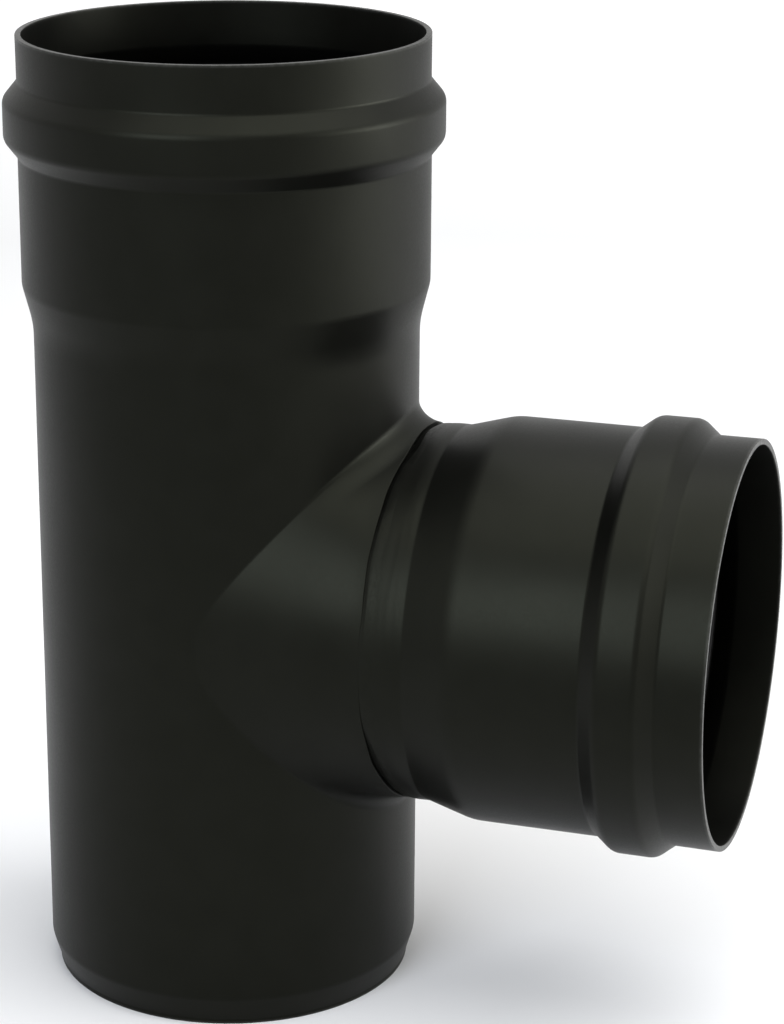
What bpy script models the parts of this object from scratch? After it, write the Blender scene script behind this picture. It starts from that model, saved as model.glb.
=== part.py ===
"""Single-wall stove pipe tee, 80 mm: an upright run with a plain male end below and a socket above, and a
branch socket welded to a collar drawn out of the run's side.

The part stands on its male end at z = 0. +Z runs up the run, +X out along the branch, and the origin is at
the middle of the box around the part, so the run's axis lies to its left. Lengths are in metres."""

import math

import bmesh
import bpy
from mathutils import Vector

# Sheet and pipe
WALL = 0.0012
PIPE_RADIUS = 0.0400
BRANCH_HEIGHT = 0.0838
PLAIN_ABOVE_BRANCH = 0.0579

# Male end, drawn in over its length and then straight to its cut edge
MALE_END_LENGTH = 0.0049
MALE_END_DRAW = 0.0017
MALE_END_LAND = 0.0010
MALE_END_BEND = 0.0030

# Socket, the same tool on the run and on the branch, measured down from its rim
MOUTH_EASE = 0.0007
MOUTH_LENGTH = 0.0095
MOUTH_BEND = 0.0012
BEAD_RISE = 0.0028
BEAD_FLANK = 0.0036
BEAD_CREST = 0.0077
BEAD_BEND = 0.0025
SOCKET_EASE = 0.0009
SOCKET_LENGTH = 0.0265
FLARE_LENGTH = 0.0098
FLARE_BEND = 0.0120
FLARE_FOOT_BEND = 0.0020

# Branch, measured out from the run
NECK_STEP = 0.0004
SADDLE_BEND = 0.0042
LIP_LENGTH = 0.0002
WELD_WIDTH = 0.0024
WELD_CROWN = 0.0002
NECK_LENGTH = 0.0027

# Seals
SEAL_PRESS = 0.0006
SEAL_BAND = 0.0022
SEAL_LIPS = 2
LIP_ROOT = 0.0014
LIP_TIP = 0.0005
LIP_LEAN = 0.0010

# Fits and fineness
FIT_GAP = 0.0003
WINDOW_MARGIN = 0.0030
COLUMNS = 56
SEAL_COLUMNS = 40
BEND_STEPS = 2
SADDLE_STEPS = 3
BLEND_STEPS = 3
MERGE_DISTANCE = 1e-6
CREASE_ANGLE = math.radians(35)

# Looks: linear colour and roughness
ENAMEL = (0.012, 0.012, 0.011)
ENAMEL_ROUGHNESS = 0.42
WELD_ENAMEL = (0.010, 0.010, 0.009)
WELD_ROUGHNESS = 0.50
SILICONE = (0.008, 0.008, 0.008)
SILICONE_ROUGHNESS = 0.60

# Radii and places that follow from the sizes above
MOUTH_RADIUS = PIPE_RADIUS + MOUTH_EASE + WALL
SOCKET_RADIUS = PIPE_RADIUS + SOCKET_EASE + WALL
BEAD_RADIUS = SOCKET_RADIUS + BEAD_RISE
NECK_RADIUS = PIPE_RADIUS - NECK_STEP
MALE_END_RADIUS = PIPE_RADIUS - MALE_END_DRAW
BEAD_TOP = MOUTH_LENGTH + BEAD_FLANK
BEAD_BOTTOM = BEAD_TOP + BEAD_CREST
BEAD_MIDDLE = (BEAD_TOP + BEAD_BOTTOM) / 2
SOCKET_DEPTH = BEAD_BOTTOM + BEAD_FLANK + SOCKET_LENGTH
FLARE_END = SOCKET_DEPTH + FLARE_LENGTH
RUN_HEIGHT = BRANCH_HEIGHT + PLAIN_ABOVE_BRANCH + FLARE_END
LIP_REACH = PIPE_RADIUS + SADDLE_BEND + LIP_LENGTH
WELD_REACH = LIP_REACH + FIT_GAP + WELD_WIDTH / 2
STUB_START = WELD_REACH + WELD_WIDTH / 2 + FIT_GAP
BRANCH_REACH = STUB_START + NECK_LENGTH + FLARE_END
RUN_AXIS_X = (BEAD_RADIUS - BRANCH_REACH) / 2
WINDOW_HALF = NECK_RADIUS + SADDLE_BEND + WINDOW_MARGIN
QUARTER = COLUMNS // 4
SADDLE_COLUMNS = COLUMNS + 4


def clear_scene():
    for obj in list(bpy.data.objects):
        bpy.data.objects.remove(obj)
    for collection in list(bpy.data.collections):
        bpy.data.collections.remove(collection)


def material(name, colour, roughness):
    """A painted or moulded surface, with no bare metal."""
    made = bpy.data.materials.new(name)
    made.use_nodes = True
    surface = made.node_tree.nodes["Principled BSDF"]
    surface.inputs["Base Color"].default_value = (*colour, 1)
    surface.inputs["Roughness"].default_value = roughness
    surface.inputs["Metallic"].default_value = 0
    made.diffuse_color = (*colour, 1)
    return made


def axis_empty(name, collection, location, rotation=(0, 0, 0), parent=None):
    """An axis that the turned pieces hang from."""
    empty = bpy.data.objects.new(name, None)
    empty.empty_display_size = PIPE_RADIUS
    empty.location = location
    empty.rotation_euler = rotation
    empty.parent = parent
    collection.objects.link(empty)
    return empty


def bent(corners, closed=False):
    """Outline points (radius, height) with each corner (radius, height, bend) turned into an arc."""
    points = []
    count = len(corners)
    for i, (radius, height, bend) in enumerate(corners):
        corner = Vector((radius, height))
        if bend == 0 or (not closed and i in (0, count - 1)):
            points.append(corner)
            continue
        before = (Vector(corners[i - 1][:2]) - corner).normalized()
        after = (Vector(corners[(i + 1) % count][:2]) - corner).normalized()
        half_angle = before.angle(after) / 2
        centre = corner + (before + after).normalized() * bend / math.sin(half_angle)
        tangent = bend / math.tan(half_angle)
        start = (corner + before * tangent - centre).normalized()
        end = (corner + after * tangent - centre).normalized()
        for step in range(BEND_STEPS + 1):
            points.append(centre + bend * start.slerp(end, step / BEND_STEPS))
    return points


def turned(name, points, columns, collection, closed=False):
    """An object that turns an outline of (radius, height) points about its local Z axis."""
    mesh = bpy.data.meshes.new(name)
    edges = [(i, i + 1) for i in range(len(points) - 1)]
    if closed:
        edges.append((len(points) - 1, 0))
    mesh.from_pydata([(radius, 0, height) for radius, height in points], edges, [])
    obj = bpy.data.objects.new(name, mesh)
    collection.objects.link(obj)
    screw = obj.modifiers.new("turn", "SCREW")
    screw.angle = math.tau
    screw.steps = screw.render_steps = columns
    screw.use_merge_vertices = True
    screw.merge_threshold = MERGE_DISTANCE
    return obj


def sheet_wall(obj):
    """Gives an outer skin the sheet's thickness, towards the inside."""
    solidify = obj.modifiers.new("sheet", "SOLIDIFY")
    solidify.thickness = WALL
    solidify.offset = -1
    solidify.use_even_offset = True


def finish(obj, look, parent):
    obj.parent = parent
    obj.data.materials.append(look)
    obj.data.shade_smooth()
    obj.data.set_sharp_from_angle(angle=CREASE_ANGLE)


def socket_corners(rim, pipe_radius):
    """The socket's outer corners from its rim down to the pipe: mouth, bead, socket and flare."""
    return [
        (MOUTH_RADIUS, rim, 0),
        (MOUTH_RADIUS, rim - MOUTH_LENGTH, MOUTH_BEND),
        (BEAD_RADIUS, rim - BEAD_TOP, BEAD_BEND),
        (BEAD_RADIUS, rim - BEAD_BOTTOM, BEAD_BEND),
        (SOCKET_RADIUS, rim - BEAD_BOTTOM - BEAD_FLANK, MOUTH_BEND),
        (SOCKET_RADIUS, rim - SOCKET_DEPTH, FLARE_BEND),
        (pipe_radius, rim - FLARE_END, FLARE_FOOT_BEND),
    ]


def on_pipe(angle, height):
    """A point of the run's outside, by its angle from the branch and its height."""
    return Vector((PIPE_RADIUS * math.cos(angle), PIPE_RADIUS * math.sin(angle), height))


def window_edge():
    """Angle and height of each point round the window in the run, from its top middle."""
    step = math.tau / COLUMNS
    top = BRANCH_HEIGHT + WINDOW_HALF
    bottom = BRANCH_HEIGHT - WINDOW_HALF
    right = QUARTER * step
    return (
        [(i * step, top) for i in range(QUARTER + 1)]
        + [(right, BRANCH_HEIGHT)]
        + [(right - i * step, bottom) for i in range(2 * QUARTER + 1)]
        + [(-right, BRANCH_HEIGHT)]
        + [(-right + i * step, top) for i in range(QUARTER)]
    )


def saddle_bend(turn):
    """The bend between run and neck at one angle round the branch's axis: the centre of a ball that touches
    both pipes from outside, and its directions to the run and to the neck."""
    across = (NECK_RADIUS + SADDLE_BEND) * math.sin(turn)
    up = (NECK_RADIUS + SADDLE_BEND) * math.cos(turn)
    out = math.sqrt((PIPE_RADIUS + SADDLE_BEND) ** 2 - across**2)
    to_run = Vector((-out, -across, 0)).normalized()
    to_neck = Vector((0, -math.sin(turn), -math.cos(turn)))
    return Vector((out, across, BRANCH_HEIGHT + up)), to_run, to_neck


def saddle_sections():
    """Closed sections from the window in the run to the lip of the drawn collar."""
    turns = [math.tau * i / SADDLE_COLUMNS for i in range(SADDLE_COLUMNS)]
    bends = [saddle_bend(turn) for turn in turns]
    feet = [centre + SADDLE_BEND * to_run for centre, to_run, _ in bends]
    feet = [(math.atan2(foot.y, foot.x), foot.z) for foot in feet]
    sections = []
    for step in range(BLEND_STEPS + 1):
        share = step / BLEND_STEPS
        sections.append(
            [
                on_pipe(edge_angle + (angle - edge_angle) * share, edge_z + (z - edge_z) * share)
                for (edge_angle, edge_z), (angle, z) in zip(window_edge(), feet)
            ]
        )
    for step in range(1, SADDLE_STEPS + 1):
        share = step / SADDLE_STEPS
        sections.append(
            [centre + SADDLE_BEND * to_run.slerp(to_neck, share) for centre, to_run, to_neck in bends]
        )
    sections.append(
        [Vector((LIP_REACH, point.y, point.z)) for point in sections[-1]]
    )
    return sections


def loft(bm, sections):
    """Faces between neighbouring closed sections."""
    rings = [[bm.verts.new(point) for point in section] for section in sections]
    for outer, inner in zip(rings, rings[1:]):
        for i in range(len(outer)):
            j = (i + 1) % len(outer)
            bm.faces.new((outer[j], outer[i], inner[i], inner[j]))


def in_window(face):
    middle = face.calc_center_median()
    return middle.x > 0 and abs(middle.z - BRANCH_HEIGHT) < WINDOW_HALF


def run_tube(collection, axis, look):
    """The run: a turned skin from rim to male end, with the branch's collar drawn out of its side."""
    corners = socket_corners(RUN_HEIGHT, PIPE_RADIUS) + [
        (PIPE_RADIUS, BRANCH_HEIGHT + WINDOW_HALF, 0),
        (PIPE_RADIUS, BRANCH_HEIGHT, 0),
        (PIPE_RADIUS, BRANCH_HEIGHT - WINDOW_HALF, 0),
        (PIPE_RADIUS, MALE_END_LENGTH, MALE_END_BEND),
        (MALE_END_RADIUS, MALE_END_LAND, MALE_END_LAND),
        (MALE_END_RADIUS, 0, 0),
    ]
    obj = turned("run_tube", bent(corners), COLUMNS, collection)
    graph = bpy.context.evaluated_depsgraph_get()
    skin = bpy.data.meshes.new_from_object(obj.evaluated_get(graph))
    bm = bmesh.new()
    bm.from_mesh(skin)
    cut = [face for face in bm.faces if in_window(face)]
    bmesh.ops.delete(bm, geom=cut, context="FACES")
    loft(bm, saddle_sections())
    bmesh.ops.remove_doubles(bm, verts=bm.verts, dist=MERGE_DISTANCE)
    bm.to_mesh(skin)
    bm.free()
    obj.modifiers.clear()
    outline = obj.data
    obj.data = skin
    bpy.data.meshes.remove(outline)
    skin.name = "run_tube"
    sheet_wall(obj)
    finish(obj, look, axis)


def branch_socket(collection, axis, look):
    """The stub welded to the collar: neck, flare, socket, bead and mouth."""
    corners = socket_corners(BRANCH_REACH, NECK_RADIUS)
    corners.append((NECK_RADIUS, STUB_START, 0))
    obj = turned("branch_socket", bent(corners), COLUMNS, collection)
    sheet_wall(obj)
    finish(obj, look, axis)


def branch_weld(collection, axis, look):
    """The weld that fills the joint between the collar's lip and the stub, crowned outside."""
    half = WELD_WIDTH / 2
    inside = NECK_RADIUS - WALL
    corners = [
        (inside, WELD_REACH + half, 0),
        (NECK_RADIUS, WELD_REACH + half, 0),
        (NECK_RADIUS + WELD_CROWN, WELD_REACH + half / 2, 0),
        (NECK_RADIUS + WELD_CROWN, WELD_REACH - half / 2, 0),
        (NECK_RADIUS, WELD_REACH - half, 0),
        (inside, WELD_REACH - half, 0),
    ]
    obj = turned("branch_weld", bent(corners, closed=True), COLUMNS, collection, closed=True)
    finish(obj, look, axis)


def seal_outline(rim):
    """A band seated in the bead's groove, with lips that lean into the socket and wipe the pipe."""
    flank_angle = math.atan2(BEAD_RADIUS - SOCKET_RADIUS, BEAD_FLANK)
    half = BEAD_CREST / 2 - WALL * math.tan(flank_angle / 2) - FIT_GAP
    back = BEAD_RADIUS - WALL - FIT_GAP
    face = back - SEAL_BAND
    tip = PIPE_RADIUS - SEAL_PRESS
    middle = rim - BEAD_MIDDLE
    pitch = 2 * half / SEAL_LIPS
    corners = [(back, middle + half, 0), (back, middle - half, 0), (face, middle - half, 0)]
    for lip in range(SEAL_LIPS):
        root = middle - half + pitch * (lip + 0.5)
        corners += [
            (face, root - LIP_ROOT / 2, 0),
            (tip, root - LIP_LEAN - LIP_TIP / 2, 0),
            (tip, root - LIP_LEAN + LIP_TIP / 2, 0),
            (face, root + LIP_ROOT / 2, 0),
        ]
    corners.append((face, middle + half, 0))
    return bent(corners, closed=True)


def seal(name, rim, collection, axis, look):
    obj = turned(name, seal_outline(rim), SEAL_COLUMNS, collection, closed=True)
    finish(obj, look, axis)


def main():
    clear_scene()
    collection = bpy.data.collections.new("stove_pipe_tee")
    bpy.context.scene.collection.children.link(collection)
    run_axis = axis_empty("run_axis", collection, (RUN_AXIS_X, 0, 0))
    branch_axis = axis_empty(
        "branch_axis", collection, (0, 0, BRANCH_HEIGHT), (0, math.pi / 2, 0), run_axis
    )
    run_tube(collection, run_axis, material("run_enamel", ENAMEL, ENAMEL_ROUGHNESS))
    branch_socket(collection, branch_axis, material("branch_enamel", ENAMEL, ENAMEL_ROUGHNESS))
    branch_weld(collection, branch_axis, material("weld_enamel", WELD_ENAMEL, WELD_ROUGHNESS))
    run_silicone = material("run_silicone", SILICONE, SILICONE_ROUGHNESS)
    seal("run_seal", RUN_HEIGHT, collection, run_axis, run_silicone)
    branch_silicone = material("branch_silicone", SILICONE, SILICONE_ROUGHNESS)
    seal("branch_seal", BRANCH_REACH, collection, branch_axis, branch_silicone)


main()
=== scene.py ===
"""Single-wall stove pipe tee in satin black enamelled steel, on a plain pale floor.

The fine surfaces are built in mesh code, in the frame of the part's solids. The run's axis is upright at
x = RUN_AXIS_X, the branch's axis points along +X at z = BRANCH_HEIGHT, and the male end stands on z = 0.
A turn is an angle round the branch's axis from its top, and a reach is a distance out from the run's axis."""

import math

import bmesh
import bpy
from mathutils import Matrix, Vector, noise

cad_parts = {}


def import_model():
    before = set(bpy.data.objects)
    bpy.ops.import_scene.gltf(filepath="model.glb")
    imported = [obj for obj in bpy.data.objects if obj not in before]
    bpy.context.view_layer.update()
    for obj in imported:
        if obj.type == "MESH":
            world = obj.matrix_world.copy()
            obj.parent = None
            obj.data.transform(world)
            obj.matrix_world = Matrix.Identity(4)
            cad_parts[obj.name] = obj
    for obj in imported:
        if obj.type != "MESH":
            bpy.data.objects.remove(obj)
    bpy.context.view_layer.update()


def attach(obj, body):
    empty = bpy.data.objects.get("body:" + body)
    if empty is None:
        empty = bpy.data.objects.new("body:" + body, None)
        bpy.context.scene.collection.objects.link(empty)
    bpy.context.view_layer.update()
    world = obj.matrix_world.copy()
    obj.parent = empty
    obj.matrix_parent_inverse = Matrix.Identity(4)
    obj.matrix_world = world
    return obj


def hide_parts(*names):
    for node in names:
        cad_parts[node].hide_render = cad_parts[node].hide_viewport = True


# Sheet and pipe
WALL = 0.0012
PIPE_RADIUS = 0.0400
BRANCH_HEIGHT = 0.0838
PLAIN_ABOVE_BRANCH = 0.0579
MALE_END_LENGTH = 0.0064
MALE_END_RADIUS = 0.0383
MALE_END_LAND = 0.0010
MALE_END_BEND = 0.0042

# Socket, measured down from its rim
MOUTH_RADIUS = 0.0419
MOUTH_LENGTH = 0.0095
MOUTH_BEND = 0.0012
BEAD_RADIUS = 0.0449
BEAD_TOP = 0.0131
BEAD_BOTTOM = 0.0208
BEAD_FOOT = 0.0244
BEAD_BEND = 0.0025
SOCKET_RADIUS = 0.0421
SOCKET_DEPTH = 0.0509

# Flares below the sockets, of which the run's has a crisper top and a softer foot
FLARE_END = 0.0607
FLARE_BEND = 0.0120
NECK_BEND = 0.0020
RUN_FLARE_END = 0.0592
RUN_FLARE_BEND = 0.0060
RUN_FOOT_BEND = 0.0220

# Branch
NECK_RADIUS = 0.03935
BRANCH_REACH = 0.1108
FLARE_START = BRANCH_REACH - FLARE_END
FLARE_CLEAR = 0.0005
NECK_END = FLARE_START - FLARE_CLEAR
RUN_HEIGHT = BRANCH_HEIGHT + PLAIN_ABOVE_BRANCH + FLARE_END
RUN_AXIS_X = (BEAD_RADIUS - BRANCH_REACH) / 2

# Collar, with angles from the branch's top or bottom
COLLAR_FLARE = 0.0035
COLLAR_FLARE_FROM = math.radians(20)
COLLAR_FLARE_TO = math.radians(95)
COLLAR_CONE_FROM = math.radians(12)
COLLAR_CONE_TO = math.radians(50)
FILLET_LENGTH = 0.0052
CREASE_SOFT = 0.0006
CREASE_PROBE = CREASE_SOFT / 10

# Seam at the collar's lip. Here and below, WAVES says how finely the noise runs round the branch
SEAM_REACH = 0.0415
SEAM_TOP_REACH = 0.0018
SEAM_TOP_SPREAD = math.radians(30)
SEAM_RISE = 0.0036
SEAM_RISE_FROM = math.radians(100)
SEAM_RISE_OVER = math.radians(60)
SEAM_RISE_CURVE = 1.5
SEAM_DRIFT = 0.0003
SEAM_WAVES = 5.1
STUB_GAP = 0.0012
STUB_START = SEAM_REACH + STUB_GAP

# Groove beside the lip, wide near the top and underneath and nearly closed at the sides
GROOVE_WIDTH = 0.0007
GROOVE_DEPTH = 0.00018
GROOVE_TOP_TURN = math.radians(13)
GROOVE_TOP_SPREAD = math.radians(8)
GROOVE_UNDER_TURN = math.radians(132)
GROOVE_UNDER_SPREAD = math.radians(15)
GROOVE_CLOSE_FROM = math.radians(60)
GROOVE_CLOSE_TO = math.radians(84)
GROOVE_CLOSED = 0.12
GROOVE_WAVES = 5
GROOVE_LAYER = 3

# Shares of the groove that are plain, rough, at the top and underneath
GROOVE_WIDTH_SHARES = (0.8, 0.5, 1.1, 2.2)
GROOVE_DEPTH_SHARES = (0.7, 0.7, 2.4, 1.0)

# Weld over the seam
WELD_WIDTH = 0.0032
WELD_WIDTH_SWELL = 0.12
WELD_WIDTH_WAVES = 7
WELD_CROWN = 0.00004
WELD_CROWN_SWELL = 0.7
WELD_CROWN_WAVES = 4
WELD_CROWN_LAYER = 7
WELD_CROWN_LEAN = 0.8
WELD_LUMPS = 0.35
WELD_LUMP_WAVES = 14
WELD_LUMP_LAYERS = 2.5
WELD_STUB_SINK = 0.00003
WELD_STUB_CURVE = 6

# How far the weld's hidden edges lie beyond its seen ones, and how deep. The groove's wall and foot lie
# just under the lip
WELD_COLLAR_EDGE = (0.0006, 0.0008)
GROOVE_WALL = 0.0002
GROOVE_FOOT = 1.4
WELD_STUB_EDGES = ((0.0003, 0.0003), (0.0005, 0.0009))

# Weld inside the pipe
ROOT_BULGE = 0.00022
ROOT_SWELL = 0.5
ROOT_WAVES = 12
ROOT_SINK = 0.0003
ROOT_HALF_WIDTH = 0.75 * WELD_WIDTH
ROOT_SHARES = (1, 0.6, 0, -0.6, -1)

# Hollow that the grinder left in the stub
HOLLOW_DEPTH = 0.00050
HOLLOW_END = 0.0475
HOLLOW_FROM = math.radians(32)
HOLLOW_TO = math.radians(52)
HOLLOW_LEAST = 0.12
HOLLOW_UNDER = 0.85
HOLLOW_UNDER_TURN = math.radians(138)
HOLLOW_UNDER_SPREAD = math.radians(25)
HOLLOW_CURVE = 1.6

# Low ridge where the stub meets its flare
RIDGE_FROM = 0.0455
RIDGE_REACH = 0.0485
RIDGE_RISE = 0.00005
RIDGE_SWELL = 1.2
RIDGE_WAVES = 2.6

# Streaks from the grinder
STREAK_DEPTH = 0.00007
STREAK_PITCH = 0.0011
STREAK_TURN = math.radians(66)
STREAK_SPREAD = math.radians(18)
STREAK_LEAST = 0.25
STREAK_WAVES = 4.3

# Slight unevenness of formed sheet, which its cut ends lack
UNEVEN = 0.00005
UNEVEN_MEAN = 0.75
UNEVEN_SWELL = 0.5
UNEVEN_BROAD = 38
UNEVEN_FINE = 90
UNEVEN_FINE_SHARE = 0.5
TRUE_END = 0.0015
TRUE_END_FADE = 0.004

# Seals
SEAL_BAND = 0.0022
SEAL_HALF = 0.0031
SEAL_GAP = 0.0003
SEAL_TIP_RADIUS = 0.0394
SEAL_BACK_BEND = 0.0005
SEAL_FACE_BEND = 0.0004
LIP_ROOT = 0.0014
LIP_ROOT_BEND = 0.00035
LIP_TIP = 0.0005
LIP_TIP_BEND = 0.00018
LIP_LEAN = 0.0010
SEAL_LIPS = 2

# Fineness of the surfaces
COLUMNS = 240
QUARTER = COLUMNS // 4
SIDE_ROWS = 24
WINDOW_HALF = 0.0462
BEND_STEPS = 8
SEAL_BEND_STEPS = 4
CREASE_STEPS = 5
COLLAR_STEPS = 32
COLLAR_CROWDING = 1.5
BLEND_STEPS = 18
BLEND_CROWDING = 2
WELD_COLUMNS = 720
WELD_STEPS = 20
LONGEST_ROW = 0.0040
NECK_ROW = 0.0004
END_STRIP = 0.0006
EDGE_ROUND = 0.00022
EDGE_STEPS = 3
EDGE_ANGLE = math.radians(55)

# Stretches of noise in which most or nearly all of its values lie
NOISE_MOST = (0.35, 0.65)
NOISE_ALL = (0.3, 0.7)
WHOLE = (0, 1)

# Enamel, with a faint olive gloss. It is duller beside the weld, and thin and rubbed on cut edges
ENAMEL_DARK = (0.0011, 0.0011, 0.0010)
ENAMEL_LIGHT = (0.0019, 0.0019, 0.0017)
ENAMEL_RUBBED = (0.030, 0.030, 0.028)
ENAMEL_ROUGHNESS = (0.37, 0.42)
ENAMEL_GRAIN = (-0.03, 0.03)
ENAMEL_SPECULAR = 0.12
ENAMEL_TINT = (0.95, 1.0, 0.76, 1)
RUB_NOISE = (0.40, 0.62)
RUB_AMOUNT = (0.55, 1.0)
RUB_POLISH = 0.08
RUB_REACH = 0.0005
RUB_GAIN = 1.6
DULL_ROUGHNESS = 0.10
DULL_REACH = 0.006
DULL_GAIN = 1.5
DULL_LOSS = 0.5
WELD_DARK = (0.0010, 0.0010, 0.0009)
WELD_LIGHT = (0.0022, 0.0022, 0.0020)
WELD_ROUGHNESS = (0.38, 0.50)

# Silicone
SILICONE_DARK = (0.0050, 0.0050, 0.0050)
SILICONE_BLOOM = (0.0095, 0.0095, 0.0098)
SILICONE_BLOOM_NOISE = (0.35, 0.7)
SILICONE_ROUGHNESS = (0.52, 0.66)
SILICONE_SPECULAR = 0.30

# Places of a mix node's colour sockets, whose names it uses for its other kinds too
MIX_COLOURS = (6, 7)
MIX_RESULT = 2

# Floor. Far away and to the right it has a painted glow that only the camera and reflections see, and in
# front painted shade makes it a little darker
FLOOR_HALF = 6
FLOOR_ROUGHNESS = 0.9
FLOOR_FAR = (0.72, 1.30)
FLOOR_FAR_PAINTED_GLOW = (0, 0.44)
FLOOR_RIGHT = (0.22, 0.50)
FLOOR_RIGHT_PAINTED_GLOW = (0, 0.40)
# Painted shade: the floor's colour is darker in front
FLOOR_DEPTH = (-0.55, -0.12)
FLOOR_PALE_AND_PAINTED_SHADE = (0.54, 0.88)

# The world's strength as a light and as seen
WORLD_STRENGTHS = (0.16, 0.95)

# Lamps
LAMP_AIM = Vector((0, 0, 0.1))
WHITE = (1, 1, 1)
COOL = (0.93, 0.99, 1.10)

# Camera
CAMERA_TURN = math.radians(18.65)
CAMERA_TILT = math.radians(18.30)
CAMERA_ROLL = math.radians(-0.06)
CAMERA_DISTANCE = 0.61597
CAMERA_AIM = (0.02052 + RUN_AXIS_X, 0, 0.10137)
FOCAL_PIXELS = 2940.0
PHOTO_HEIGHT = 1024
SHIFT_PIXELS = (70.90, 6.25)
SENSOR = 36.0
CLIP_START = 0.01


# Outlines


def bent(corners, steps=BEND_STEPS, closed=False):
    """Outline points (radius, height) with each corner (radius, height, bend) turned into an arc."""
    points = []
    count = len(corners)
    for i, (radius, height, bend) in enumerate(corners):
        corner = Vector((radius, height))
        if bend == 0 or (not closed and i in (0, count - 1)):
            points.append(corner)
            continue
        before = (Vector(corners[i - 1][:2]) - corner).normalized()
        after = (Vector(corners[(i + 1) % count][:2]) - corner).normalized()
        half_angle = before.angle(after) / 2
        centre = corner + (before + after).normalized() * bend / math.sin(half_angle)
        tangent = bend / math.tan(half_angle)
        start = (corner + before * tangent - centre).normalized()
        end = (corner + after * tangent - centre).normalized()
        for step in range(steps + 1):
            points.append(centre + bend * start.slerp(end, step / steps))
    return points


def filled(points, longest=LONGEST_ROW):
    """The outline with its long straight stretches divided."""
    made = [points[0]]
    for point in points[1:]:
        pieces = max(1, math.ceil((point - made[-1]).length / longest))
        last = made[-1]
        made += [last.lerp(point, step / pieces) for step in range(1, pieces + 1)]
    return made


def socket_corners(rim, pipe_radius, flare_end, flare_bend, foot_bend):
    """The socket's outer corners from its rim down to the pipe: mouth, bead, socket and flare."""
    return [
        (MOUTH_RADIUS, rim, 0),
        (MOUTH_RADIUS, rim - END_STRIP, 0),
        (MOUTH_RADIUS, rim - MOUTH_LENGTH, MOUTH_BEND),
        (BEAD_RADIUS, rim - BEAD_TOP, BEAD_BEND),
        (BEAD_RADIUS, rim - BEAD_BOTTOM, BEAD_BEND),
        (SOCKET_RADIUS, rim - BEAD_FOOT, MOUTH_BEND),
        (SOCKET_RADIUS, rim - SOCKET_DEPTH, flare_bend),
        (pipe_radius, rim - flare_end, foot_bend),
    ]


def male_end_corners():
    """The run's outer corners where its lower end is drawn in."""
    return [
        (PIPE_RADIUS, MALE_END_LENGTH, MALE_END_BEND),
        (MALE_END_RADIUS, MALE_END_LAND, MALE_END_LAND),
        (MALE_END_RADIUS, END_STRIP, 0),
        (MALE_END_RADIUS, 0, 0),
    ]


# Surfaces


def turned_points(outline):
    """Rows of points that turn an outline about the upright axis."""
    angles = [math.tau * i / COLUMNS for i in range(COLUMNS)]
    return [
        [Vector((radius * math.cos(angle), radius * math.sin(angle), height)) for angle in angles]
        for radius, height in outline
    ]


def span(bm, rows, closed=True, ends=False):
    """Faces between rows of points or vertices. closed joins each row's ends, and ends joins the last row to
    the first."""
    rings = [[v if isinstance(v, bmesh.types.BMVert) else bm.verts.new(v) for v in row] for row in rows]
    if ends:
        rings.append(rings[0])
    for upper, lower in zip(rings, rings[1:]):
        count = len(upper)
        for i in range(count if closed else count - 1):
            j = (i + 1) % count
            bm.faces.new((upper[j], upper[i], lower[i], lower[j]))
    return rings


def held(share):
    """A share held between 0 and 1."""
    return min(1, max(0, share))


def between(value, start, end):
    """How far a value lies on the way from a start to an end."""
    return (value - start) / (end - start)


def eased(share):
    """A share from 0 to 1 with a level start and end, and held outside them."""
    share = held(share)
    return share * share * (3 - 2 * share)


def bell(turn, middle, spread):
    """1 at an angle to either side of the branch's top, falling to 0 away from it."""
    return math.exp(-(((abs(turn) - middle) / spread) ** 2))


def around(turn, waves, layer=0):
    """A place to read noise at, on a ring round the branch's axis. Each layer along the axis has its own."""
    return Vector((math.sin(turn), math.cos(turn), 0)) * waves + Vector((0, 0, layer))


def from_top_or_bottom(turn):
    """The angle round the branch's axis from its top or its bottom, whichever is nearer."""
    return min(abs(turn), math.pi - abs(turn))


def collar_flare(turn):
    """How far the collar stands above the plain neck where it leaves the run at a crease."""
    return COLLAR_FLARE * eased(between(from_top_or_bottom(turn), COLLAR_FLARE_TO, COLLAR_FLARE_FROM))


def crease_reach(turn):
    """The reach of the crease between run and collar."""
    return math.sqrt(PIPE_RADIUS**2 - ((NECK_RADIUS + collar_flare(turn)) * math.sin(turn)) ** 2)


def seam_line(turn):
    """The reach that the collar's lip was trimmed to. It is longer at the top, and again underneath."""
    top = SEAM_TOP_REACH * bell(turn, 0, SEAM_TOP_SPREAD)
    foot = held((abs(turn) - SEAM_RISE_FROM) / SEAM_RISE_OVER)
    return SEAM_REACH + top + SEAM_RISE * foot**SEAM_RISE_CURVE


def seam_reach(turn):
    """The reach of the collar's lip, with the drift of a hand-held grinder."""
    return seam_line(turn) + SEAM_DRIFT * noise.noise(around(turn, SEAM_WAVES))


def saddle_rise(reach, turn):
    """How far the collar stands above the neck: a slight cone that ends at the lip, and near the top and
    bottom a fillet beside the crease."""
    crease = crease_reach(turn)
    flare = collar_flare(turn)
    cone = flare * eased(between(from_top_or_bottom(turn), COLLAR_CONE_FROM, COLLAR_CONE_TO))
    rise = cone * max(0, between(reach, seam_line(turn), crease))
    fillet = flare - cone
    left = crease + FILLET_LENGTH - reach
    if fillet > 0 and left > 0:
        bend = (FILLET_LENGTH**2 + fillet**2) / (2 * fillet)
        rise += bend - math.sqrt(bend**2 - left**2)
    return rise


def hollow(reach, turn):
    """How far the stub dips beside the lip: most near the top, where the grinder dug in, and less below."""
    top = 1 - (1 - HOLLOW_LEAST) * eased(between(abs(turn), HOLLOW_FROM, HOLLOW_TO))
    under = HOLLOW_UNDER * bell(turn, HOLLOW_UNDER_TURN, HOLLOW_UNDER_SPREAD)
    left = held(between(reach, HOLLOW_END, seam_line(turn)))
    return HOLLOW_DEPTH * (top + under) * left**HOLLOW_CURVE


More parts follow.
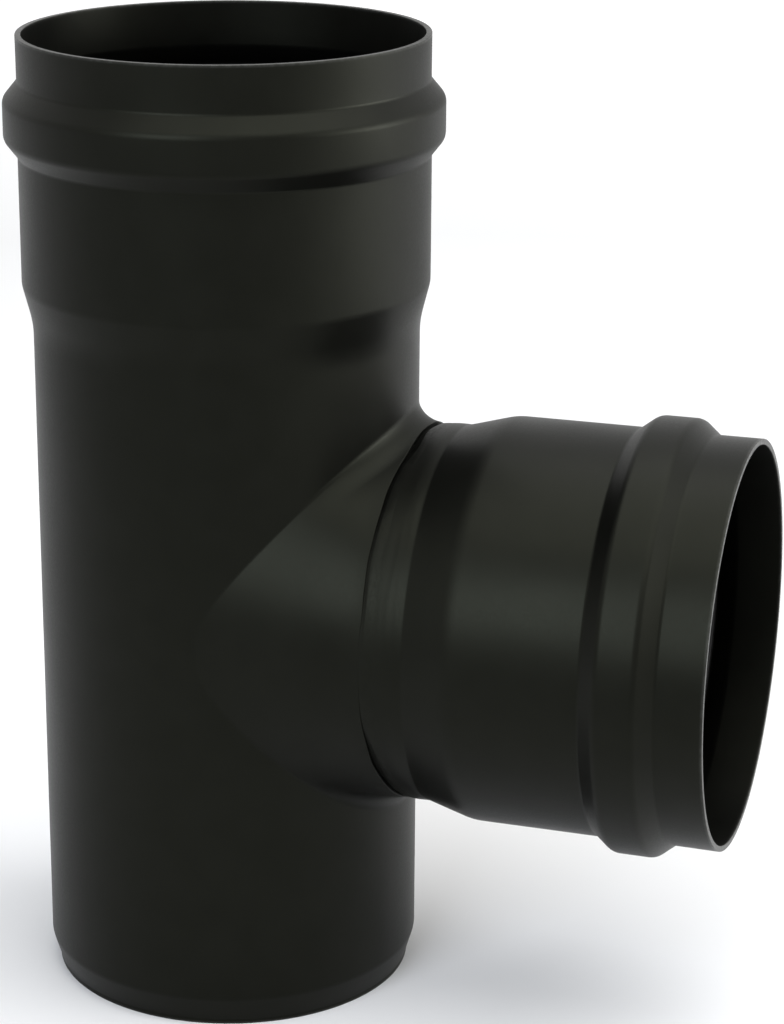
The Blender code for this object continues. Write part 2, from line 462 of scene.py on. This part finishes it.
def streaks(reach, turn):
    """Shallow streaks from the grinder, between the collar's lip and the flare."""
    inside = eased((reach - seam_line(turn)) / STREAK_PITCH) * eased((FLARE_START - reach) / STREAK_PITCH)
    amount = STREAK_LEAST + (1 - STREAK_LEAST) * bell(turn, STREAK_TURN, STREAK_SPREAD)
    return STREAK_DEPTH * inside * amount * noise.noise(around(turn, STREAK_WAVES, reach / STREAK_PITCH))


def neck_rise(reach, turn):
    """How far the stub stands above a plain neck, with its hollow, its streaks and its low ridge."""
    climb = eased(between(reach, RIDGE_FROM, RIDGE_REACH))
    fall = eased(between(reach, FLARE_START, RIDGE_REACH))
    ridge = RIDGE_RISE * (1 + RIDGE_SWELL * noise.noise(around(turn, RIDGE_WAVES))) * climb * fall
    return saddle_rise(reach, turn) + ridge + streaks(reach, turn) - hollow(reach, turn)


def branch_point(reach, turn):
    """A point of the collar's outside, in the run's frame."""
    radius = NECK_RADIUS + saddle_rise(reach, turn)
    return Vector((reach, radius * math.sin(turn), BRANCH_HEIGHT + radius * math.cos(turn)))


def blend_points(edge, crease):
    """Points along the run, from the window's edge to where the softened crease begins."""
    angle = math.atan2(edge.y, edge.x)
    sweep = math.atan2(crease.y, crease.x) - angle
    climb = crease.z - edge.z
    stop = 1 - CREASE_SOFT / math.hypot(sweep * PIPE_RADIUS, climb)
    points = []
    for i in range(1, BLEND_STEPS + 1):
        share = (1 - (1 - i / BLEND_STEPS) ** BLEND_CROWDING) * stop
        at = angle + sweep * share
        height = edge.z + climb * share
        points.append(Vector((PIPE_RADIUS * math.cos(at), PIPE_RADIUS * math.sin(at), height)))
    return points


def collar_column(edge, turn):
    """Points from the window's edge over the softened crease and out to the collar's lip, at one turn."""
    crease = branch_point(crease_reach(turn), turn)
    points = blend_points(edge, crease)
    nearby = branch_point(crease.x + CREASE_PROBE, turn)
    start = crease.x + CREASE_SOFT * CREASE_PROBE / (nearby - crease).length
    before = points[-1]
    after = branch_point(start, turn)
    for i in range(1, CREASE_STEPS):
        share = i / CREASE_STEPS
        points.append(before.lerp(crease, share).lerp(crease.lerp(after, share), share))
    lip = seam_reach(turn)
    shares = [(i / COLLAR_STEPS) ** COLLAR_CROWDING for i in range(COLLAR_STEPS + 1)]
    return points + [branch_point(start + (lip - start) * share, turn) for share in shares]


def saddle_rows(window):
    """Rows of points from the window in the run to the lip of the drawn collar."""
    count = len(window)
    turns = [math.remainder(math.tau * i / count, math.tau) for i in range(count)]
    columns = [collar_column(v.co, turn) for v, turn in zip(window, turns)]
    return [window] + [list(row) for row in zip(*columns)]


def run_skin():
    """The run's outer skin round its own axis, with the branch's collar drawn out of it."""
    top = BRANCH_HEIGHT + WINDOW_HALF
    bottom = BRANCH_HEIGHT - WINDOW_HALF
    socket = socket_corners(RUN_HEIGHT, PIPE_RADIUS, RUN_FLARE_END, RUN_FLARE_BEND, RUN_FOOT_BEND)
    above = filled(bent(socket + [(PIPE_RADIUS, top, 0)]))
    sides = [Vector((PIPE_RADIUS, top + (bottom - top) * i / SIDE_ROWS)) for i in range(1, SIDE_ROWS)]
    below = filled(bent([(PIPE_RADIUS, bottom, 0)] + male_end_corners()))
    bm = bmesh.new()
    upper = span(bm, turned_points(above))
    lower = span(bm, turned_points(below))
    behind = range(QUARTER, COLUMNS - QUARTER + 1)
    middle = [[bm.verts.new(row[i]) for i in behind] for row in turned_points(sides)]
    first = [upper[-1][i] for i in behind]
    last = [lower[0][i] for i in behind]
    span(bm, [first] + middle + [last], closed=False)
    window = (
        upper[-1][: QUARTER + 1]
        + [row[0] for row in middle]
        + [lower[0][i] for i in range(QUARTER, -QUARTER - 1, -1)]
        + [row[-1] for row in reversed(middle)]
        + upper[-1][-QUARTER:]
    )
    span(bm, saddle_rows(window))
    return bm


def branch_turn(point):
    """The turn of a point in the branch's own upright frame."""
    return math.atan2(point.y, -point.x)


def branch_skin():
    """The branch socket's outer skin, turned about the upright axis. Its neck follows the weld's line."""
    socket = socket_corners(BRANCH_REACH, NECK_RADIUS, FLARE_END, FLARE_BEND, NECK_BEND)
    outline = bent(socket + [(NECK_RADIUS, STUB_START, 0)])
    outline = filled(outline[:-1]) + filled(outline[-2:], NECK_ROW)[1:]
    bm = bmesh.new()
    span(bm, turned_points(outline))
    for v in bm.verts:
        if v.co.z < NECK_END:
            turn = branch_turn(v.co)
            start = seam_reach(turn) + STUB_GAP
            v.co.z = start + (v.co.z - STUB_START) * (NECK_END - start) / (NECK_END - STUB_START)
            radius = NECK_RADIUS + neck_rise(v.co.z, turn)
            v.co.x *= radius / NECK_RADIUS
            v.co.y *= radius / NECK_RADIUS
    return bm


def make_uneven(bm, ends):
    """Lets the formed sheet sink by a few hundredths of a millimetre, apart from its cut ends."""
    bm.normal_update()
    for v in bm.verts:
        clear = min(abs(v.co.z - end) for end in ends)
        swell = noise.noise(v.co * UNEVEN_BROAD) + UNEVEN_FINE_SHARE * noise.noise(v.co * UNEVEN_FINE)
        sink = UNEVEN_MEAN + UNEVEN_SWELL * swell
        v.co -= v.normal * UNEVEN * sink * held((clear - TRUE_END) / TRUE_END_FADE)


def mesh_object(name, bm, matrix):
    """A smooth object from a surface, moved into the frame."""
    mesh = bpy.data.meshes.new(name)
    bm.to_mesh(mesh)
    bm.free()
    mesh.transform(matrix)
    mesh.shade_smooth()
    obj = bpy.data.objects.new(name, mesh)
    bpy.context.scene.collection.objects.link(obj)
    return obj


def thicken(obj):
    """Gives an outer skin the sheet's thickness and rounds its cut edges."""
    sheet = obj.modifiers.new("sheet", "SOLIDIFY")
    sheet.thickness = WALL
    sheet.offset = -1
    sheet.use_even_offset = True
    edges = obj.modifiers.new("edges", "BEVEL")
    edges.width = EDGE_ROUND
    edges.segments = EDGE_STEPS
    edges.limit_method = "ANGLE"
    edges.angle_limit = EDGE_ANGLE
    edges.harden_normals = True
    graph = bpy.context.evaluated_depsgraph_get()
    made = bpy.data.meshes.new_from_object(obj.evaluated_get(graph))
    obj.modifiers.clear()
    old = obj.data
    name = old.name
    obj.data = made
    bpy.data.meshes.remove(old)
    made.name = name


def run_place():
    """Moves an upright axis to the run's."""
    return Matrix.Translation((RUN_AXIS_X, 0, 0))


def branch_place():
    """Turns an upright axis to the branch's."""
    return Matrix.Translation((RUN_AXIS_X, 0, BRANCH_HEIGHT)) @ Matrix.Rotation(math.pi / 2, 4, "Y")


def groove_share(shares, rough, top, under):
    """What the groove's roughness and its two wide stretches add up to."""
    of_plain, of_rough, of_top, of_under = shares
    return of_plain + of_rough * rough + of_top * top + of_under * under


def groove(turn):
    """Width and depth of the groove beside the collar's lip."""
    rough = 0.5 + 0.5 * noise.noise(around(turn, GROOVE_WAVES, GROOVE_LAYER))
    top = bell(turn, GROOVE_TOP_TURN, GROOVE_TOP_SPREAD)
    under = bell(turn, GROOVE_UNDER_TURN, GROOVE_UNDER_SPREAD)
    closed = eased(between(from_top_or_bottom(turn), GROOVE_CLOSE_FROM, GROOVE_CLOSE_TO))
    width = GROOVE_WIDTH * groove_share(GROOVE_WIDTH_SHARES, rough, top, under)
    depth = GROOVE_DEPTH * groove_share(GROOVE_DEPTH_SHARES, rough, top, under)
    return width, depth * (1 - (1 - GROOVE_CLOSED) * closed)


def weld_outline(turn):
    """The weld outside, as (reach, rise above the neck), from the groove at the collar's lip over a low crown
    to the stub."""
    lip = seam_reach(turn)
    toe, depth = groove(turn)
    width = WELD_WIDTH * (1 + WELD_WIDTH_SWELL * noise.noise(around(turn, WELD_WIDTH_WAVES)))
    swell = noise.noise(around(turn, WELD_CROWN_WAVES, WELD_CROWN_LAYER))
    crown = WELD_CROWN * (1 + WELD_CROWN_SWELL * swell)
    reach, sink = WELD_COLLAR_EDGE
    outline = [(lip - reach, -sink), (lip - GROOVE_WALL, -GROOVE_FOOT * depth)]
    for i in range(WELD_STEPS + 1):
        share = i / WELD_STEPS
        lumps = 1 + WELD_LUMPS * noise.noise(around(turn, WELD_LUMP_WAVES, WELD_LUMP_LAYERS * share))
        rise = crown * lumps * math.sin(math.pi * share**WELD_CROWN_LEAN) ** 2
        sunk = depth * (1 - eased(width * share / toe)) + WELD_STUB_SINK * share**WELD_STUB_CURVE
        outline.append((lip + width * share, rise - sunk))
    return outline + [(lip + width + reach, -sink) for reach, sink in WELD_STUB_EDGES]


def weld_root(turn):
    """The weld inside the pipe, as (reach, radius), back from the stub to the collar."""
    middle = seam_reach(turn) + WELD_WIDTH / 2
    inside = NECK_RADIUS - WALL + saddle_rise(middle, turn)
    bulge = ROOT_BULGE * (1 + ROOT_SWELL * noise.noise(around(turn, ROOT_WAVES)))
    return [
        (middle + ROOT_HALF_WIDTH * share, inside - bulge * (1 - share * share) + ROOT_SINK * abs(share))
        for share in ROOT_SHARES
    ]


def weld_bead():
    """The weld that joins collar and stub, a low uneven bead outside and a thinner one inside."""
    lines = []
    for i in range(WELD_COLUMNS):
        turn = math.remainder(math.tau * i / WELD_COLUMNS, math.tau)
        outside = [(reach, NECK_RADIUS + neck_rise(reach, turn) + rise) for reach, rise in weld_outline(turn)]
        across = -math.cos(turn)
        along = math.sin(turn)
        lines.append(
            [Vector((radius * across, radius * along, reach)) for reach, radius in outside + weld_root(turn)]
        )
    bm = bmesh.new()
    span(bm, zip(*lines), ends=True)
    return bm


def seal_skin(rim):
    """A moulded band in the bead's groove with lips that lean into the socket."""
    back = BEAD_RADIUS - WALL - SEAL_GAP
    face = back - SEAL_BAND
    middle = rim - (BEAD_TOP + BEAD_BOTTOM) / 2
    pitch = 2 * SEAL_HALF / SEAL_LIPS
    corners = [
        (back, middle + SEAL_HALF, SEAL_BACK_BEND),
        (back, middle - SEAL_HALF, SEAL_BACK_BEND),
        (face, middle - SEAL_HALF, SEAL_FACE_BEND),
    ]
    for lip in range(SEAL_LIPS):
        root = middle - SEAL_HALF + pitch * (lip + 0.5)
        corners += [
            (face, root - LIP_ROOT / 2, LIP_ROOT_BEND),
            (SEAL_TIP_RADIUS, root - LIP_LEAN - LIP_TIP / 2, LIP_TIP_BEND),
            (SEAL_TIP_RADIUS, root - LIP_LEAN + LIP_TIP / 2, LIP_TIP_BEND),
            (face, root + LIP_ROOT / 2, LIP_ROOT_BEND),
        ]
    corners.append((face, middle + SEAL_HALF, SEAL_FACE_BEND))
    bm = bmesh.new()
    span(bm, turned_points(bent(corners, steps=SEAL_BEND_STEPS, closed=True)), ends=True)
    return bm


# Materials


def node(tree, kind, **values):
    """A shader node with its properties and socket values set."""
    made = tree.nodes.new(kind)
    for key, value in values.items():
        if key in made.inputs:
            made.inputs[key].default_value = value
        else:
            setattr(made, key, value)
    return made


def start_material(name):
    """An empty node material with its shader, output and object coordinates."""
    made = bpy.data.materials.new(name)
    made.use_nodes = True
    tree = made.node_tree
    tree.nodes.clear()
    output = tree.nodes.new("ShaderNodeOutputMaterial")
    surface = tree.nodes.new("ShaderNodeBsdfPrincipled")
    tree.links.new(surface.outputs["BSDF"], output.inputs["Surface"])
    where = tree.nodes.new("ShaderNodeTexCoord").outputs["Object"]
    return made, tree, surface, where


def grain(tree, where, scale, detail):
    """Noise at a scale in cycles per metre."""
    made = node(tree, "ShaderNodeTexNoise", Scale=scale, Detail=detail, Roughness=0.5)
    tree.links.new(where, made.inputs["Vector"])
    return made.outputs["Fac"]


def ranged(tree, value, source, target):
    """A value moved from one range to another and held inside it."""
    made = node(tree, "ShaderNodeMapRange")
    for key, limit in zip(("From Min", "From Max", "To Min", "To Max"), (*source, *target)):
        made.inputs[key].default_value = limit
    tree.links.new(value, made.inputs["Value"])
    return made.outputs["Result"]


def combined(tree, kind, first, second):
    """One arithmetic step between two values, either of them a number or a socket."""
    made = node(tree, "ShaderNodeMath", operation=kind)
    for socket, value in zip(made.inputs, (first, second)):
        if isinstance(value, (int, float)):
            socket.default_value = value
        else:
            tree.links.new(value, socket)
    return made.outputs["Value"]


def mixed(tree, share, first, second):
    """A colour between two colours, each a tuple or a socket."""
    made = node(tree, "ShaderNodeMix", data_type="RGBA")
    tree.links.new(share, made.inputs["Factor"])
    for place, colour in zip(MIX_COLOURS, (first, second)):
        if isinstance(colour, tuple):
            made.inputs[place].default_value = (*colour, 1)
        else:
            tree.links.new(colour, made.inputs[place])
    return made.outputs[MIX_RESULT]


def bumped(tree, height, distance, strength, below=None):
    """A normal from a height, on top of another one where given."""
    made = node(tree, "ShaderNodeBump", Distance=distance, Strength=strength)
    tree.links.new(height, made.inputs["Height"])
    if below is not None:
        tree.links.new(below, made.inputs["Normal"])
    return made.outputs["Normal"]


def attribute(tree, name):
    """A value that is stored at the surface's points."""
    made = node(tree, "ShaderNodeAttribute", attribute_name=name)
    return made.outputs["Fac"]


def set_gloss(surface, level, tint=None):
    """How strongly a surface mirrors, the same all over."""
    surface.inputs["Specular IOR Level"].default_value = level
    if tint is not None:
        surface.inputs["Specular Tint"].default_value = tint


def enamel():
    """Satin black high-temperature enamel: fine grain, slight orange peel, and rubbed on the cut edges."""
    made, tree, surface, where = start_material("satin_black_enamel")
    broad = grain(tree, where, scale=28, detail=2)
    cloudy = grain(tree, where, scale=140, detail=4)
    fine = grain(tree, where, scale=2600, detail=2)
    peel = grain(tree, where, scale=700, detail=1)
    patchy = grain(tree, where, scale=900, detail=3)
    worn = combined(tree, "MULTIPLY", attribute(tree, "edge"), ranged(tree, patchy, RUB_NOISE, RUB_AMOUNT))
    tone = mixed(tree, ranged(tree, cloudy, NOISE_MOST, WHOLE), ENAMEL_DARK, ENAMEL_LIGHT)
    tree.links.new(mixed(tree, worn, tone, ENAMEL_RUBBED), surface.inputs["Base Color"])
    plain = ranged(tree, broad, NOISE_MOST, ENAMEL_ROUGHNESS)
    rough = combined(tree, "ADD", plain, ranged(tree, fine, NOISE_ALL, ENAMEL_GRAIN))
    dull = combined(tree, "MULTIPLY", attribute(tree, "weld"), DULL_ROUGHNESS)
    polish = combined(tree, "MULTIPLY", worn, RUB_POLISH)
    rough = combined(tree, "SUBTRACT", combined(tree, "ADD", rough, dull), polish)
    tree.links.new(rough, surface.inputs["Roughness"])
    set_gloss(surface, ENAMEL_SPECULAR, ENAMEL_TINT)
    normal = bumped(tree, peel, distance=0.00002, strength=0.35)
    normal = bumped(tree, fine, distance=0.000012, strength=0.5, below=normal)
    tree.links.new(normal, surface.inputs["Normal"])
    return made


def weld_enamel():
    """The same enamel over the weld, a little duller, with pores and spatter."""
    made, tree, surface, where = start_material("enamel_over_weld")
    cloudy = grain(tree, where, scale=420, detail=4)
    fine = grain(tree, where, scale=1800, detail=3)
    tone = mixed(tree, ranged(tree, cloudy, NOISE_MOST, WHOLE), WELD_DARK, WELD_LIGHT)
    tree.links.new(tone, surface.inputs["Base Color"])
    tree.links.new(ranged(tree, fine, NOISE_ALL, WELD_ROUGHNESS), surface.inputs["Roughness"])
    set_gloss(surface, ENAMEL_SPECULAR, ENAMEL_TINT)
    normal = bumped(tree, cloudy, distance=0.00008, strength=0.5)
    normal = bumped(tree, fine, distance=0.00003, strength=0.5, below=normal)
    tree.links.new(normal, surface.inputs["Normal"])
    return made


def silicone():
    """Matt black silicone with faint bloom and moulding marks."""
    made, tree, surface, where = start_material("black_silicone")
    cloudy = grain(tree, where, scale=260, detail=4)
    fine = grain(tree, where, scale=3200, detail=2)
    tone = mixed(tree, ranged(tree, cloudy, SILICONE_BLOOM_NOISE, WHOLE), SILICONE_DARK, SILICONE_BLOOM)
    tree.links.new(tone, surface.inputs["Base Color"])
    tree.links.new(ranged(tree, cloudy, NOISE_ALL, SILICONE_ROUGHNESS), surface.inputs["Roughness"])
    set_gloss(surface, SILICONE_SPECULAR)
    tree.links.new(bumped(tree, fine, distance=0.00001, strength=0.4), surface.inputs["Normal"])
    return made


def dress(obj, look, slot, *nodes):
    """Gives a finished piece its material and its place in the part, and hides the solids that it stands for.
    """
    obj.data.materials.clear()
    obj.data.materials.append(look)
    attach(obj, "root")
    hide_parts(*nodes)


def mark(obj, name, amount):
    """Stores a value from 0 to 1 at each vertex, from its place in the frame."""
    layer = obj.data.attributes.new(name, "FLOAT", "POINT")
    layer.data.foreach_set("value", [held(amount(v.co)) for v in obj.data.vertices])


def near(distance, reach):
    """1 at a place, falling to 0 at a reach from it."""
    return 1 - min(1, abs(distance) / reach)


def mark_sheet(obj, ends, along):
    """Marks the cut ends and the band beside the weld. along gives a point's distance up its own axis."""
    mark(obj, "edge", lambda p: max(RUB_GAIN * near(along(p) - end, RUB_REACH) for end in ends))
    seam = SEAM_REACH + WELD_WIDTH / 2
    mark(obj, "weld", lambda p: DULL_GAIN * near(p.x - RUN_AXIS_X - seam, DULL_REACH) - DULL_LOSS)


def sheet_piece(name, bm, ends, place):
    """A piece of formed sheet from its outer skin, with cut ends that stay true."""
    make_uneven(bm, ends)
    obj = mesh_object(name, bm, place)
    thicken(obj)
    return obj


def tee():
    """All pieces of the part."""
    coat = enamel()
    run = sheet_piece("run_shell", run_skin(), (0, RUN_HEIGHT), run_place())
    mark_sheet(run, (0, RUN_HEIGHT), lambda p: p.z)
    dress(run, coat, "run_tube", "run_tube")
    branch = sheet_piece("branch_shell", branch_skin(), (STUB_START, BRANCH_REACH), branch_place())
    mark_sheet(branch, (BRANCH_REACH,), lambda p: p.x - RUN_AXIS_X)
    dress(branch, coat, "branch_socket", "branch_socket")
    weld = mesh_object("weld_bead", weld_bead(), branch_place())
    dress(weld, weld_enamel(), "branch_weld", "branch_weld")
    rubber = silicone()
    run_seal = mesh_object("run_lip_seal", seal_skin(RUN_HEIGHT), run_place())
    dress(run_seal, rubber, "run_seal", "run_seal")
    branch_seal = mesh_object("branch_lip_seal", seal_skin(BRANCH_REACH), branch_place())
    dress(branch_seal, rubber, "branch_seal", "branch_seal")


# Stage


def background_rays(tree):
    """1 for rays from the camera and for those that mirror or pass through, 0 for the light's own."""
    path = tree.nodes.new("ShaderNodeLightPath")
    seen = combined(tree, "MAXIMUM", path.outputs["Is Camera Ray"], path.outputs["Is Glossy Ray"])
    return combined(tree, "MAXIMUM", seen, path.outputs["Is Transmission Ray"])


def distance_along(tree, where, direction):
    """How far a place lies in a direction."""
    made = node(tree, "ShaderNodeVectorMath", operation="DOT_PRODUCT")
    tree.links.new(where, made.inputs[0])
    made.inputs[1].default_value = direction
    return made.outputs["Value"]


def distance_away(tree, where):
    """How far a place lies from the frame's origin."""
    made = node(tree, "ShaderNodeVectorMath", operation="LENGTH")
    tree.links.new(where, made.inputs[0])
    return made.outputs["Value"]


def floor():
    """A plain pale floor that keeps the object's shadow, with a painted glow far away and to the right that
    only the camera and reflections see, and painted shade in front.
    """
    bm = bmesh.new()
    bmesh.ops.create_grid(bm, x_segments=1, y_segments=1, size=FLOOR_HALF)
    plane = mesh_object("floor", bm, Matrix.Identity(4))
    made, tree, surface, where = start_material("pale_floor")
    surface.inputs["Roughness"].default_value = FLOOR_ROUGHNESS
    set_gloss(surface, 0.0)
    surface.inputs["Emission Color"].default_value = (*WHITE, 1)
    behind = distance_along(tree, where, (-math.sin(CAMERA_TURN), math.cos(CAMERA_TURN), 0))
    beside = distance_along(tree, where, (1, 0, 0))
    # Painted glow: far away and to the right the floor glows for the camera and in reflections, though it
    # lights nothing
    far = ranged(tree, distance_away(tree, where), FLOOR_FAR, FLOOR_FAR_PAINTED_GLOW)
    painted_glow = combined(tree, "MAXIMUM", far, ranged(tree, beside, FLOOR_RIGHT, FLOOR_RIGHT_PAINTED_GLOW))
    seen = combined(tree, "MULTIPLY", background_rays(tree), painted_glow)
    tree.links.new(seen, surface.inputs["Emission Strength"])
    # Painted shade: the floor's colour darkens towards the front, standing in for less light falling there
    tree.links.new(ranged(tree, behind, FLOOR_DEPTH, FLOOR_PALE_AND_PAINTED_SHADE), surface.inputs["Base Color"])
    plane.data.materials.append(made)


def world():
    """White behind the object, and softer as a light."""
    made = bpy.data.worlds.new("studio")
    bpy.context.scene.world = made
    made.use_nodes = True
    tree = made.node_tree
    background = tree.nodes["Background"]
    background.inputs["Color"].default_value = (*WHITE, 1)
    strength = ranged(tree, background_rays(tree), WHOLE, WORLD_STRENGTHS)
    tree.links.new(strength, background.inputs["Strength"])


def softbox(name, turn, tilt, distance, size, radiance, colour=WHITE):
    """A soft rectangular lamp that faces the object's middle. It stands at a turn from +X and a tilt above
    the level, in degrees."""
    lamp = bpy.data.lights.new(name, "AREA")
    lamp.shape = "RECTANGLE"
    lamp.size, lamp.size_y = size
    lamp.energy = radiance * math.pi * size[0] * size[1]
    lamp.color = colour
    obj = bpy.data.objects.new(name, lamp)
    turn = math.radians(turn)
    tilt = math.radians(tilt)
    direction = Vector((math.cos(turn) * math.cos(tilt), math.sin(turn) * math.cos(tilt), math.sin(tilt)))
    obj.location = LAMP_AIM + direction * distance
    obj.rotation_mode = "QUATERNION"
    obj.rotation_quaternion = direction.to_track_quat("Z", "Y")
    obj.visible_camera = False
    bpy.context.scene.collection.objects.link(obj)


def lights():
    """A cool key in front and to the left, a wide overhead panel that leans to the right, and a small strong
    panel and a broad weak one low on the right."""
    softbox("key", turn=-102, tilt=26, distance=2.0, size=(1.15, 1.14), radiance=5.35, colour=COOL)
    softbox("overhead", turn=-10, tilt=77, distance=1.6, size=(2.2, 2.24), radiance=2.5)
    softbox("side", turn=15, tilt=9, distance=2.0, size=(1.07, 0.63), radiance=10.5)
    softbox("side_fill", turn=8, tilt=16, distance=2.0, size=(2.4, 1.2), radiance=2.0)


def camera():
    """The photograph's view: turned and tilted round the aim, with the framing set by a small shift."""
    turn, tilt, roll = CAMERA_TURN, CAMERA_TILT, CAMERA_ROLL
    back = Vector((math.sin(turn) * math.cos(tilt), -math.cos(turn) * math.cos(tilt), math.sin(tilt)))
    level = Vector((math.cos(turn), math.sin(turn), 0))
    upward = back.cross(level)
    right = math.cos(roll) * level + math.sin(roll) * upward
    up = -math.sin(roll) * level + math.cos(roll) * upward
    place = Matrix((right, up, back)).transposed().to_4x4()
    place.translation = Vector(CAMERA_AIM) + back * CAMERA_DISTANCE
    made = bpy.data.cameras.new("camera")
    made.sensor_fit = "VERTICAL"
    made.sensor_height = SENSOR
    made.lens = FOCAL_PIXELS * SENSOR / PHOTO_HEIGHT
    made.shift_x, made.shift_y = (pixels / PHOTO_HEIGHT for pixels in SHIFT_PIXELS)
    made.clip_start = CLIP_START
    obj = bpy.data.objects.new("camera", made)
    obj.matrix_world = place
    bpy.context.scene.collection.objects.link(obj)
    bpy.context.scene.camera = obj


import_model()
bpy.context.scene.view_settings.view_transform = "Standard"
tee()
floor()
world()
lights()
camera()
